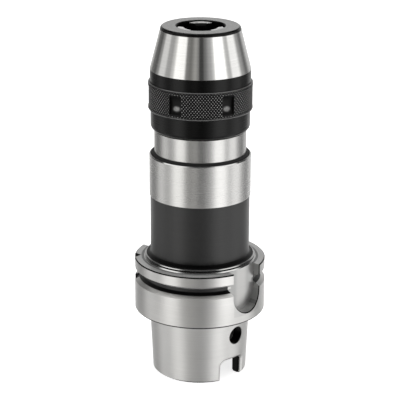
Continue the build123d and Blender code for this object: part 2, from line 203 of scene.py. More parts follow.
# ------------------------------------------------------------------ studio
# Soft boxes and dark flags stand round the object. Each stop is (azimuth in degrees, level, warmth).
PEAK = 2.0
BOXES = [
    (-180, 0.42, 0.2), (-160, 0.30, 0.5), (-148, 0.21, 0.8), (-140, 0.09, 1.0), (-124, 0.065, 1.0),
    (-113, 0.17, 0.8), (-104, 0.42, 0.6), (-92, 0.43, 0.6), (-84, 0.24, 0.6), (-76, 0.23, 0.8),
    (-67, 0.38, 1.0), (-60, 0.74, 1.0), (-40, 0.70, 1.0), (-33, 0.14, 1.6), (-24, 0.11, 2.4),
    (-12, 0.22, 2.0), (-5, 0.14, 1.2), (-2, 0.035, 1.0), (5, 0.035, 0.6), (10, 0.10, 0.4), (24, 0.25, 0.3),
    (31, 0.40, 0.3), (36, 0.86, 0.5), (58, 0.85, 0.5), (67, 0.34, 0.4), (73, 0.32, 0.4),
    (79, 0.62, 0.4), (96, 0.64, 0.4), (109, 0.22, 0.3), (126, 0.09, 0.2), (146, 0.32, 0.2),
    (180, 0.42, 0.2),
]


def tint(level, warmth):
    return (level, level * (1 - 0.006 * warmth), level * (1 - 0.026 * warmth))


world = bpy.data.worlds.new("studio")
scene.world = world
world.use_nodes = True
w = Tree(world.node_tree)
co = w.new("ShaderNodeTexCoord").outputs["Generated"]
sep = w.new("ShaderNodeSeparateXYZ")
w.put(co, sep.inputs[0])
az = w.math("ARCTAN2", sep.outputs[0], w.mul(sep.outputs[1], -1.0))
turn = w.add(w.mul(az, 1 / (2 * math.pi)), 0.5)
round_about = w.ramp(turn, [((a + 180) / 360, tint(v, k)) for a, v, k in BOXES], "EASE")
el = w.math("ARCSINE", sep.outputs[2])
# above the boxes the room is dark, but for one wide card overhead, a little behind the object
height = w.math("MAXIMUM", sep.outputs[2], 0.02)
cx = w.math("ABSOLUTE", w.math("DIVIDE", sep.outputs[0], height))
cy = w.math("DIVIDE", sep.outputs[1], height)
card = w.mul(w.step(cx, 0.95, 1.25, 1.0, 0.0), w.mul(w.step(cy, -0.30, -0.20), w.step(cy, 0.36, 0.52, 1.0, 0.0)))
overhead = w.mixc(card, (0.03, 0.03, 0.03), (0.66, 0.66, 0.65))
high = w.step(el, math.radians(20), math.radians(27))
sky = w.mixc(high, round_about, overhead)
deep = w.step(el, math.radians(-58), math.radians(-40), 0.92, 0.0)
sky = w.mixc(deep, sky, (0.0, 0.0, 0.0))
lit = w.new("ShaderNodeBackground")
w.put(sky, lit.inputs[0])
lit.inputs[1].default_value = PEAK
white = w.new("ShaderNodeBackground")
white.inputs[0].default_value = (1.0, 1.0, 1.0, 1)
white.inputs[1].default_value = 1.0
path = w.new("ShaderNodeLightPath")
both = w.new("ShaderNodeMixShader")
w.t.links.new(path.outputs["Is Camera Ray"], both.inputs[0])
w.t.links.new(lit.outputs[0], both.inputs[1])
w.t.links.new(white.outputs[0], both.inputs[2])
out = w.new("ShaderNodeOutputWorld")
w.t.links.new(both.outputs[0], out.inputs[0])

# One wide soft box overhead, for the light on the floor only: the metal sees the boxes round about.
top = bpy.data.lights.new("overhead_soft", "AREA")
top.shape = "DISK"
top.size = 1.6
top.energy = 10.0
top_o = bpy.data.objects.new("overhead_soft", top)
scene.collection.objects.link(top_o)
top_o.location = (0.0, -0.1, 1.5)
top_o.visible_glossy = False
top_o.visible_camera = False

FLOOR_Z = SIZE["cad"][0][2]
floor_m = bpy.data.meshes.new("floor")
R = 30.0
floor_m.from_pydata([(-R, -R, FLOOR_Z), (R, -R, FLOOR_Z), (R, R, FLOOR_Z), (-R, R, FLOOR_Z)], [], [(0, 1, 2, 3)])
floor = bpy.data.objects.new("floor", floor_m)
scene.collection.objects.link(floor)
floor.visible_glossy = False
floor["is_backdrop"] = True
fmat = bpy.data.materials.new("pale_floor")
fmat.use_nodes = True
f = Tree(fmat.node_tree)
fb = f.new("ShaderNodeBsdfPrincipled")
fb.inputs["Base Color"].default_value = (0.9, 0.9, 0.9, 1)
fb.inputs["Roughness"].default_value = 0.9
fb.inputs["Specular IOR Level"].default_value = 0.0
fb.inputs["Emission Color"].default_value = (1, 1, 1, 1)
fb.inputs["Emission Strength"].default_value = 0.80
fo = f.new("ShaderNodeOutputMaterial")
f.t.links.new(fb.outputs[0], fo.inputs[0])
floor_m.materials.append(fmat)


# ------------------------------------------------------------------ finishes
def finish(name, zones, aniso=0.0, ior=1.5, coat=None, sheen=None, edge=0.0):
    """A turned metal or moulded finish. zones(t, c) returns colour, metallic, roughness, height (in metres)."""
    m = bpy.data.materials.new(name)
    m.use_nodes = True
    t = Tree(m.node_tree)
    tc = t.new("ShaderNodeTexCoord").outputs["Object"]
    s = t.new("ShaderNodeSeparateXYZ")
    t.put(tc, s.inputs[0])
    x, y, z = s.outputs
    c = {"p": tc, "x": x, "y": y, "z": z,
         "r": t.math("SQRT", t.add(t.mul(x, x), t.mul(y, y))),
         "az": t.math("ARCTAN2", x, t.mul(y, -1.0))}
    geo = t.new("ShaderNodeNewGeometry")
    ns = t.new("ShaderNodeSeparateXYZ")
    tr = t.new("ShaderNodeVectorTransform", vector_type="NORMAL", convert_from="WORLD", convert_to="OBJECT")
    t.put(geo.outputs["True Normal"], tr.inputs[0])
    t.put(tr.outputs[0], ns.inputs[0])
    c["nz"] = ns.outputs[2]
    # how far the surface faces along the turning direction: large on walls that are cut across it
    c["nt"] = t.math("ABSOLUTE", t.add(t.mul(ns.outputs[0], t.math("COSINE", c["az"])),
                                       t.mul(ns.outputs[1], t.math("SINE", c["az"]))))
    # and how far it faces outward: about 0.7 on the chamfers round the slots and rims
    c["nr"] = t.sub(t.mul(ns.outputs[0], t.math("SINE", c["az"])), t.mul(ns.outputs[1], t.math("COSINE", c["az"])))
    if edge:
        # 1 close to a corner of the solid, 0 elsewhere
        bev = t.new("ShaderNodeBevel", samples=6)
        bev.inputs["Radius"].default_value = edge
        dot = t.new("ShaderNodeVectorMath", operation="DOT_PRODUCT")
        t.put(bev.outputs[0], dot.inputs[0])
        t.put(geo.outputs["Normal"], dot.inputs[1])
        c["edge"] = t.step(dot.outputs["Value"], 0.90, 0.99, 1.0, 0.0)
    colour, metallic, rough, height = zones(t, c)
    b = t.new("ShaderNodeBsdfPrincipled")
    t.put(colour, b.inputs["Base Color"])
    t.put(metallic, b.inputs["Metallic"])
    t.put(rough, b.inputs["Roughness"])
    b.inputs["IOR"].default_value = ior
    if aniso:
        b.inputs["Anisotropic"].default_value = aniso
        tan = t.new("ShaderNodeTangent", direction_type="RADIAL", axis="Z")
        t.put(tan.outputs[0], b.inputs["Tangent"])
    if coat:
        b.inputs["Coat Weight"].default_value = coat[0]
        b.inputs["Coat Roughness"].default_value = coat[1]
    if sheen:
        b.inputs["Sheen Weight"].default_value = sheen[0]
        b.inputs["Sheen Roughness"].default_value = sheen[1]
    if height is not None:
        bump = t.new("ShaderNodeBump")
        bump.inputs["Strength"].default_value = 1.0
        bump.inputs["Distance"].default_value = 1.0
        t.put(height, bump.inputs["Height"])
        t.put(bump.outputs[0], b.inputs["Normal"])
    o = t.new("ShaderNodeOutputMaterial")
    t.t.links.new(b.outputs[0], o.inputs[0])
    return m


def turned(t, c, across=7000.0, along=60.0):
    """Fine lines round the axis, as a lathe or a cylindrical grinder leaves them."""
    v = t.vec(t.mul(c["x"], along), t.mul(c["y"], along), t.mul(c["z"], across))
    return t.noise(v, 1.0, 3.0, 0.6)


def faced(t, c, across=5000.0, along=60.0):
    """Fine rings on a face that was turned or ground square to the axis."""
    v = t.vec(t.mul(c["r"], across), t.mul(c["x"], along), t.mul(c["y"], along))
    return t.noise(v, 1.0, 3.0, 0.6)


def speckle(t, c, scale=2600.0):
    return t.noise(c["p"], scale, 2.0, 0.6)


STEEL = (0.66, 0.655, 0.645)
BLACK = (0.016, 0.016, 0.017)


def holder_zones(t, c):
    x, y, z, r = c["x"], c["y"], c["z"], c["r"]
    lines = turned(t, c)
    rings = faced(t, c)
    wide = turned(t, c, 900.0, 25.0)
    spot = speckle(t, c)
    cloud = t.noise(c["p"], 90.0, 3.0, 0.6)
    facing = t.step(t.math("ABSOLUTE", c["nz"]), 0.86, 0.97)
    grain = t.mixf(facing, lines, rings)
    # directions of the flange slots: along their middle line and across it
    s48, c48 = math.sin(math.radians(48)), math.cos(math.radians(48))
    across = t.add(t.mul(x, c48), t.mul(y, s48))
    along = t.sub(t.mul(x, s48), t.mul(y, c48))
    side = t.math("ABSOLUTE", across)
    front_slot = t.mul(t.step(side, 8.96 * MM, 9.06 * MM, 1.0, 0.0), t.step(along, 0.0, 1.0 * MM))
    back_slot = t.mul(t.step(side, 7.96 * MM, 8.06 * MM, 1.0, 0.0), t.step(along, -1.0 * MM, 0.0, 1.0, 0.0))
    flange = t.band(z, 4.0 * MM, 25.98 * MM, 0.01 * MM)
    in_slot = t.mul(t.mul(t.add(front_slot, back_slot), flange), t.step(r, 26.0 * MM, 26.4 * MM))
    # the index notch on the left, with painted shade on its walls
    sn, cn = math.sin(math.radians(-88.5)), math.cos(math.radians(-88.5))
    n_across = t.math("ABSOLUTE", t.add(t.mul(x, cn), t.mul(y, sn)))
    n_along = t.sub(t.mul(x, sn), t.mul(y, cn))
    notch_shade = t.mul(t.step(n_across, 3.3 * MM, 3.7 * MM, 1.0, 0.0), t.step(n_along, 27.9 * MM, 28.2 * MM))
    notch_shade = t.mul(notch_shade, t.mul(t.step(c["nr"], 0.90, 0.96, 1.0, 0.0), t.band(z, 12.6 * MM, 25.97 * MM, 0.02 * MM)))
    # black oxide on the dark barrel; the floor of the gripper groove made dark; painted shade in the joint pocket and
    # inside the bores
    barrel = t.mul(t.band(z, 27.26 * MM, 57.55 * MM, 0.03 * MM), t.band(r, 23.15 * MM, 25.62 * MM, 0.05 * MM))
    groove = t.mul(t.band(z, 15.2 * MM, 20.6 * MM, 0.12 * MM), t.step(r, 29.3 * MM, 29.6 * MM, 1.0, 0.0))
    groove = t.mul(groove, t.mul(t.step(r, 26.9 * MM, 27.1 * MM), t.sub(1.0, in_slot)))
    # painted shade: the lower corner of the groove goes near black
    corner = t.mul(groove, t.step(z, 16.9 * MM, 17.4 * MM, 1.0, 0.0))
    # painted shade: the joint pocket round the neck is made black
    pocket_shade = t.mul(t.band(z, 70.0 * MM, 78.0 * MM, 0.12 * MM), t.step(r, 23.58 * MM, 23.66 * MM, 1.0, 0.0))
    # painted shade and dark reflection: the hub's side and the seam where the barrel meets the hub go black
    hub_shade = t.mul(t.band(z, 26.49 * MM, 27.29 * MM, 0.02 * MM), t.band(r, 26.2 * MM, 26.6 * MM, 0.05 * MM))
    seam_shade = t.mul(t.step(z, 27.5 * MM, 27.58 * MM), t.step(r, 25.60 * MM, 25.80 * MM, 1.0, 0.0))
    seam_shade = t.mul(seam_shade, t.mul(t.step(z, 29.2 * MM, 29.5 * MM, 1.0, 0.0), t.step(r, 23.4 * MM, 23.6 * MM)))
    # painted shadow: a dark ring on the flange's top round the hub, at 0.6 strength
    ring = t.mul(t.band(r, 27.05 * MM, 28.2 * MM, 0.15 * MM), t.mul(t.step(c["nz"], 0.90, 0.97), t.band(z, 25.9 * MM, 26.1 * MM, 0.05 * MM)))
    # painted shade: a black band at the root of the taper, just under the flange
    root_shade = t.mul(t.band(z, -0.05 * MM, 0.46 * MM, 0.05 * MM), t.step(r, 25.0 * MM, 25.3 * MM, 1.0, 0.0))
    root_shade = t.mul(root_shade, t.step(r, 23.0 * MM, 23.3 * MM))
    # painted shade: the inside of the access hole in the shank is made black
    drop = t.add(z, 9.5 * MM)
    bore = t.math("SQRT", t.add(t.mul(across, across), t.mul(drop, drop)))
    bore = t.mul(t.step(bore, 4.50 * MM, 4.56 * MM, 1.0, 0.0), t.step(r, 24.4 * MM, 23.2 * MM, 0.0, 1.0))
    bore = t.mul(bore, t.step(along, 0.0, 1.0 * MM))
    # painted shade: everything inside the bores is made black
    inner_shade = t.step(r, 19.2 * MM, 19.5 * MM, 1.0, 0.0)
    # painted shade on the walls of the keyways across the shank's end
    keyway_shade = t.mul(t.step(z, -21.0 * MM, -21.6 * MM, 0.0, 1.0), t.mul(t.step(c["nr"], 0.30, 0.45, 1.0, 0.0), t.step(r, 22.3 * MM, 22.0 * MM, 0.0, 1.0)))
    keyway_shade = t.mul(keyway_shade, t.step(t.math("ABSOLUTE", c["nz"]), 0.5, 0.7, 1.0, 0.0))
    shade_marks = t.math("MAXIMUM", t.math("MAXIMUM", hub_shade, seam_shade), t.math("MAXIMUM", root_shade, bore))
    # painted shade: black lines on the chamfers round the drive slots, along the flange's lower edge and where the
    # groove runs out into the front slot, standing in for the dark reflections these edges give
    chamfer_shade = t.mul(t.band(c["nr"], 0.45, 0.85, 0.03), t.mul(t.step(r, 30.2 * MM, 30.5 * MM), t.band(z, 0.0, 26.05 * MM, 0.02 * MM)))
    chamfer_shade = t.mul(chamfer_shade, t.step(t.math("ABSOLUTE", c["nz"]), 0.76, 0.80, 1.0, 0.0))
    chamfer_shade = t.math("MAXIMUM", chamfer_shade, t.mul(t.step(r, 30.2 * MM, 30.5 * MM), t.band(z, 0.0, 0.75 * MM, 0.03 * MM)))
    run_out_shade = t.mul(c["edge"], t.mul(t.band(across, 8.7 * MM, 9.5 * MM, 0.1 * MM), t.band(z, 14.3 * MM, 21.8 * MM, 0.1 * MM)))
    run_out_shade = t.mul(run_out_shade, t.step(along, 24.0 * MM, 25.0 * MM))
    chamfer_shade = t.math("MAXIMUM", chamfer_shade, run_out_shade)
    shade_marks = t.math("MAXIMUM", shade_marks, t.math("MAXIMUM", t.mul(ring, 0.6), t.math("MAXIMUM", chamfer_shade, notch_shade)))
    # all the painted shade together, with the bores, the joint pocket and the keyway walls
    deep = t.math("MAXIMUM", shade_marks, t.math("MAXIMUM", inner_shade, t.math("MAXIMUM", pocket_shade, keyway_shade)))
    black = t.math("MAXIMUM", t.math("MAXIMUM", barrel, groove), deep)
    bevel = t.mul(t.band(c["nr"], 0.60, 0.80, 0.03), t.step(r, 30.4 * MM, 30.6 * MM))
    bevel = t.math("MAXIMUM", bevel, t.band(t.math("ABSOLUTE", c["nz"]), 0.62, 0.79, 0.03))
    edge = t.mul(bevel, t.sub(1.0, black))
    # painted shade: the steel is darkened along every sharp corner that is not a lit chamfer, standing in for the dark
    # outline its reflection gives
    edge_shade = t.mul(t.mul(c["edge"], t.sub(1.0, bevel)), t.sub(1.0, black))
    steel = t.mixc(t.linear(grain, 0.35, 0.65), tuple(v * 0.95 for v in STEEL), tuple(min(1, v * 1.05) for v in STEEL))
    steel = t.mixc(t.mul(t.linear(cloud, 0.4, 0.62), 0.25), steel, tuple(v * 0.88 for v in STEEL))
    steel = t.mixc(facing, steel, t.mixc(t.linear(t.mixf(0.35, spot, rings), 0.36, 0.64), (0.50, 0.50, 0.50), (0.72, 0.715, 0.71)))
    steel = t.mixc(t.step(z, -1.5 * MM, 0.5 * MM, 0.25, 0.0), steel, (0.50, 0.50, 0.495))
    steel = t.mixc(t.mul(in_slot, t.step(c["nr"], 0.985, 0.999, 1.0, 0.35)), steel, (0.46, 0.46, 0.455))
    steel = t.mixc(t.mul(t.step(z, 50.0 * MM, 60.0 * MM), 0.5), steel, tuple(v * 0.90 for v in STEEL))
    # painted shade along the sharp corners
    steel = t.mixc(t.mul(edge_shade, 0.5), steel, (0.40, 0.40, 0.395))
    steel = t.mixc(edge, steel, (0.60, 0.60, 0.595))
    dark = t.mixc(t.linear(t.mixf(0.6, spot, lines), 0.35, 0.65), (0.010, 0.010, 0.0102), (0.017, 0.017, 0.0174))
    # painted shade: the barrel's foot is darker still towards the hub, standing in for the shade and dark reflection
    # of the flange
    foot = t.mul(barrel, t.step(t.add(z, t.mul(t.sub(cloud, 0.5), 3.0 * MM)), 27.6 * MM, 31.4 * MM, 1.0, 0.0))
    # painted shade: the shaded places and the barrel's foot go near black
    pitch = t.math("MAXIMUM", t.math("MAXIMUM", deep, corner), foot)
    dark = t.mixc(pitch, dark, (0.0015, 0.0015, 0.0015))
    colour = t.mixc(black, steel, dark)
    satin = t.step(z, -2.0 * MM, 24.0 * MM, 0.39, 0.33)
    ground = t.step(z, 50.0 * MM, 60.0 * MM, 0.0, 1.0)
    rs = t.mixf(ground, satin, 0.27)
    rs = t.mixf(facing, rs, 0.34)
    rs = t.add(rs, t.mul(t.sub(wide, 0.5), t.mixf(ground, 0.05, 0.03)))
    rs = t.mixf(edge, rs, 0.10)
    rb = t.add(0.43, t.mul(t.sub(spot, 0.5), 0.06))
    rb = t.mixf(pitch, rb, 0.5)
    rough = t.mixf(black, rs, rb)
    h = t.mul(t.mixf(facing, lines, spot), t.mixf(ground, 0.7e-6, 0.35e-6))
    h = t.mixf(black, h, t.mul(spot, 2e-6))
    share = t.mixf(t.step(z, -1.0 * MM, 1.0 * MM), 0.72, 0.88)
    # the top of the flange is matt: it stays pale where the dark barrel is mirrored in it
    top_face = t.mul(facing, t.band(z, 25.9 * MM, 26.1 * MM, 0.05 * MM))
    share = t.mixf(top_face, share, 0.45)
    share = t.mixf(edge, share, 1.0)
    # painted shade: the shaded places become a fully metallic black, which gives back almost nothing, as a narrow gap
    # does
    share = t.mixf(black, share, t.mul(pitch, 0.9))
    return colour, share, rough, h


def neck_zones(t, c):
    lines = turned(t, c)
    wide = turned(t, c, 900.0, 25.0)
    spot = speckle(t, c)
    cloud = t.noise(c["p"], 110.0, 3.0, 0.6)
    steel = t.mixc(t.linear(lines, 0.35, 0.65), tuple(v * 0.85 for v in STEEL), tuple(min(1, v * 0.95) for v in STEEL))
    steel = t.mixc(t.mul(t.linear(cloud, 0.4, 0.62), 0.25), steel, tuple(v * 0.80 for v in STEEL))
    rough = t.add(0.25, t.mul(t.sub(wide, 0.5), 0.05))
    # painted shade: the neck goes near black at its foot, where it stands in the joint pocket
    seat_shade = t.step(c["z"], 78.9 * MM, 79.15 * MM, 1.0, 0.0)
    steel = t.mixc(seat_shade, steel, (0.012, 0.012, 0.012))
    return steel, t.mixf(seat_shade, 0.90, 0.0), rough, t.mul(t.mixf(0.3, lines, spot), 0.9e-6)


def nose_zones(t, c):
    z, r = c["z"], c["r"]
    lines = turned(t, c, 9000.0, 30.0)
    rings = faced(t, c)
    spot = speckle(t, c)
    wide = turned(t, c, 700.0, 20.0)
    black = t.step(z, 118.86 * MM, 118.94 * MM, 1.0, 0.0)
    # painted reflection: the rounding between the face and the cone is made black, as the dark room mirrored in it
    rim_reflection = t.mul(t.step(c["nz"], 0.955, 0.985, 1.0, 0.0), t.step(z, 137.50 * MM, 137.62 * MM))
    rim_reflection = t.mul(rim_reflection, t.step(r, 17.0 * MM, 17.3 * MM))
    # painted shade: the bore of the nose is made black
    inner_shade = t.step(r, 11.82 * MM, 11.90 * MM, 1.0, 0.0)
    black = t.math("MAXIMUM", black, t.math("MAXIMUM", rim_reflection, inner_shade))
    flat = t.step(c["nz"], 0.93, 0.99)
    bright = t.mixc(t.linear(lines, 0.35, 0.65), (0.64, 0.64, 0.63), (0.74, 0.735, 0.725))
    face = t.mixc(t.linear(t.mixf(0.4, spot, rings), 0.38, 0.62), (0.38, 0.38, 0.375), (0.66, 0.66, 0.655))
    steel = t.mixc(flat, bright, face)
    dark = t.mixc(t.linear(spot, 0.35, 0.65), (0.0006, 0.0006, 0.0006), (0.003, 0.003, 0.0031))
    colour = t.mixc(black, steel, dark)
    rs = t.mixf(flat, t.add(0.09, t.mul(t.sub(wide, 0.5), 0.04)), 0.38)
    rb = t.add(0.22, t.mul(t.sub(turned(t, c, 2500.0, 40.0), 0.5), 0.20))
    rough = t.mixf(rim_reflection, t.mixf(black, rs, rb), 0.22)
    h = t.mixf(flat, t.mul(lines, 0.12e-6), t.mul(spot, 5e-6))
    h = t.mixf(black, h, t.mul(turned(t, c, 2500.0, 40.0), 5e-6))
    return colour, t.sub(1.0, black), rough, h


def oxide(base=0.010, rough=0.27, lines=True, spread=0.5, bump=2.5e-6, uneven=0.16):
    def zones(t, c):
        spot = speckle(t, c)
        ring = turned(t, c, 3000.0, 40.0) if lines else spot
        lo, hi = base * (1 - spread), base * (1 + spread)
        colour = t.mixc(t.linear(spot, 0.35, 0.65), (lo, lo, lo * 1.04), (hi, hi, hi * 1.05))
        r = t.add(rough, t.mul(t.sub(ring, 0.5), uneven))
        # a fully metallic black gives back almost nothing: the rounded lower edge is lost in its own shadow
        under = t.step(c["nz"], -0.82, -0.70, 0.9, 0.0)
        return colour, under, r, t.mul(t.mixf(0.5, spot, ring), bump)
    return zones


def knurl_zones(t, c):
    """Black oxide worn through to grey steel on the tips of the pyramids, grey lines along the rims that are edge wear
    and painted highlight together, a painted highlight on each slot's floor and painted shade in the slots.
    """
    spot = speckle(t, c)
    r, z = c["r"], c["z"]
    tip = t.step(r, 24.47 * MM, 24.58 * MM)
    between = t.band(z, 101.0 * MM, 112.4 * MM, 0.05 * MM)
    # the grey lines along the top rim and the foot chamfer are edge wear and a painted highlight together
    rim_reflection = t.mul(t.step(z, 112.72 * MM, 112.78 * MM), t.step(r, 24.1 * MM, 24.3 * MM))
    foot = t.mul(t.band(z, 99.9 * MM, 100.45 * MM, 0.12 * MM), t.step(r, 24.3 * MM, 24.5 * MM))
    worn = t.math("MAXIMUM", t.mul(t.mul(tip, between), 1.0), t.math("MAXIMUM", t.mul(rim_reflection, 0.18), t.mul(foot, 0.20)))
    worn = t.mul(worn, t.linear(t.noise(c["p"], 700.0, 2.0, 0.6), 0.3, 0.6, 0.55, 1.0))
    # painted highlight: a bright spot on the floor of each spanner slot, a little below its middle, standing in for
    # the light its curved floor reflects
    sixth = t.math("WRAP", t.sub(c["az"], math.radians(31.7)), math.radians(30), math.radians(-30))
    sx = t.mul(sixth, 23.0 * MM / (1.95 * MM))
    sz = t.mul(t.sub(z, 104.5 * MM), 1.0 / (1.35 * MM))
    spot_r = t.math("SQRT", t.add(t.mul(sx, sx), t.mul(sz, sz)))
    slot_glint = t.mul(t.step(spot_r, 0.25, 1.25, 1.0, 0.0), t.step(r, 24.0 * MM, 24.2 * MM, 1.0, 0.0))
    slot_glint = t.mul(slot_glint, t.step(r, 22.3 * MM, 22.5 * MM))
    worn = t.math("MAXIMUM", worn, t.mul(slot_glint, t.linear(t.noise(c["p"], 1100.0, 2.0, 0.6), 0.35, 0.65, 0.24, 0.42)))
    # painted shade: the slots' floors and the walls cut across the turning go near black and dull, less so under the
    # painted highlight
    slot = t.mul(t.step(r, 24.0 * MM, 24.15 * MM, 1.0, 0.0), t.band(z, 100.8 * MM, 111.5 * MM, 0.1 * MM))
    wall = t.mul(t.step(c["nt"], 0.5, 0.8), t.band(z, 100.8 * MM, 111.5 * MM, 0.1 * MM))
    slot_shade = t.math("MAXIMUM", wall, t.mul(slot, t.sub(0.7, t.mul(slot_glint, 0.7))))
    dark = t.mixc(t.linear(spot, 0.35, 0.65), (0.004, 0.004, 0.0042), (0.012, 0.012, 0.0125))
    dark = t.mixc(slot_shade, dark, (0.002, 0.002, 0.002))
    colour = t.mixc(worn, dark, (0.72, 0.715, 0.71))
    rough = t.mixf(slot_shade, t.add(0.24, t.mul(t.sub(spot, 0.5), 0.16)), 0.55)
    # painted shade: the slot walls are made an almost fully metallic black
    wall_shade = t.mul(t.step(c["nt"], 0.6, 0.85), t.band(z, 101.3 * MM, 111.2 * MM, 0.1 * MM))
    shade = t.mul(slot, t.sub(0.55, t.mul(slot_glint, 0.55)))
    share = t.math("MAXIMUM", worn, t.math("MAXIMUM", t.mul(wall_shade, 0.85), shade))
    return colour, share, rough, t.mul(spot, 2.5e-6)


def metal(colour=STEEL, rough=0.25, spread=0.10, lines="turned", bump=0.8e-6, across=6000.0):
    def zones(t, c):
        spot = speckle(t, c, 3200.0)
        if lines == "turned":
            ring = turned(t, c, across, 50.0)
        elif lines == "faced":
            ring = faced(t, c, across, 50.0)
        else:
            ring = spot
        cloud = t.noise(c["p"], 140.0, 3.0, 0.6)
        lo = tuple(v * (1 - spread) for v in colour)
        hi = tuple(min(1.0, v * (1 + spread)) for v in colour)
        col = t.mixc(t.linear(ring, 0.35, 0.65), lo, hi)
        col = t.mixc(t.mul(t.linear(cloud, 0.4, 0.65), 0.3), col, tuple(v * 0.8 for v in colour))
        r = t.add(rough, t.mul(t.sub(t.mixf(0.5, ring, cloud), 0.5), 0.14))
        return col, 1.0, r, t.mul(ring, bump)
    return zones


def jaw_zones(t, c):
    """Ground bright across the tip, near black on the sides and the gripping land."""
    spot = speckle(t, c, 3200.0)
    cloud = t.noise(c["p"], 300.0, 3.0, 0.6)
    tip = t.mul(t.step(c["nz"], 0.80, 0.90), t.step(c["z"], 137.4 * MM, 137.8 * MM))
    bright = t.mixc(t.linear(t.mixf(0.5, spot, cloud), 0.42, 0.58), (0.42, 0.42, 0.415), (0.86, 0.855, 0.85))
    dark = t.mixc(t.linear(cloud, 0.35, 0.65), (0.003, 0.003, 0.003), (0.010, 0.010, 0.010))
    colour = t.mixc(tip, dark, bright)
    return colour, t.mixf(tip, 0.8, 0.25), t.mixf(tip, 0.50, 0.34), t.mul(spot, 1.5e-6)


def soft(colour, rough=0.5):
    def zones(t, c):
        spot = speckle(t, c, 2400.0)
        cloud = t.noise(c["p"], 220.0, 3.0, 0.6)
        lo = tuple(v * 0.75 for v in colour)
        col = t.mixc(t.linear(t.mixf(0.5, spot, cloud), 0.35, 0.65), lo, colour)
        return col, 0.0, t.add(rough, t.mul(t.sub(cloud, 0.5), 0.2)), t.mul(spot, 8e-6)
    return zones


MATS = {
    "holder": finish("holder_steel_and_oxide", holder_zones, ior=1.52, sheen=(0.46, 0.33), edge=0.28 * MM),
    "neck": finish("body_ground_steel", neck_zones, sheen=(0.10, 0.35)),
    "nose": finish("nose_ground_steel_and_oxide", nose_zones, ior=1.29, sheen=(0.16, 0.28)),
    "rear": finish("sleeve_black_oxide", oxide(0.0008, 0.28, bump=1.2e-6, uneven=0.08), ior=1.32, sheen=(0.46, 0.29)),
    "knurl": finish("knurl_black_oxide", knurl_zones, ior=1.41, sheen=(0.16, 0.28)),
    "guide": finish("guide_dark_steel", oxide(0.006, 0.42), ior=1.4),
    "jaw": finish("jaw_steel", jaw_zones, ior=1.4),
    "hard": finish("hardened_ground_steel", metal((0.62, 0.615, 0.60), 0.20, 0.12)),
    "screw": finish("screw_turned_steel", metal((0.52, 0.515, 0.50), 0.30, 0.15)),
    "ball": finish("ball_polished_steel", metal((0.74, 0.735, 0.73), 0.08, 0.05, "spot", 0.1e-6)),
    "race": finish("race_ground_steel", metal((0.66, 0.655, 0.64), 0.15, 0.10, "faced")),
    "spring": finish("spring_steel_blued", metal((0.20, 0.21, 0.25), 0.30, 0.20)),
    "brass": finish("cage_brass", metal((0.80, 0.60, 0.30), 0.28, 0.12, "faced")),
    "seal": finish("seal_polymer_amber", soft((0.32, 0.17, 0.06), 0.42)),
    "rubber": finish("seal_rubber_black", soft((0.006, 0.006, 0.006), 0.6)),
    "dark": finish("fastener_black_oxide", oxide(0.014, 0.36)),
}

LOOK = {
    "holder_body": "holder", "chuck_body": "neck", "nose_sleeve": "nose", "rear_sleeve": "rear",
    "knurled_ring": "knurl", "jaw_guide": "guide", "jaw_screw": "screw", "anvil": "hard",
    "clamp_washer": "hard", "joint_seal": "rubber", "body_clamp_screw": "dark", "body_oring": "rubber",
    "anti_jam_washer": "spring", "dust_seal": "seal", "bearing_nut": "hard", "nut_lock_screw": "dark",
    "thrust_washer_lower": "race", "thrust_washer_upper": "race", "thrust_balls": "ball",
    "ball_cage": "brass", "guide_pins": "hard", "guide_snap_ring": "spring",
    "drive_dowels": "hard", "jaw_1": "jaw", "jaw_2": "jaw", "jaw_3": "jaw",
}


def look_of(name):
    for key in sorted(LOOK, key=len, reverse=True):
        if name == key or name.startswith(key):
            return MATS[LOOK[key]]
    return MATS["hard"]


for name, o in NODES.items():
    o.data.materials.clear()
    o.data.materials.append(look_of(name))

# ------------------------------------------------------------------ the knurled ring, cut for real
KR, KI = 24.65, 21.90
Z0, Z1 = 99.5, 113.1
CH0, CH1 = 0.8, 0.45
KZ0, KZ1 = 101.05, 112.35
COLS = 108                      # pyramids round the ring
ROWS = 13                       # half rows up the ring
DEPTH = 0.50
FLAT = 0.15                     # size of the worn flat on each pyramid, as a share of the pyramid


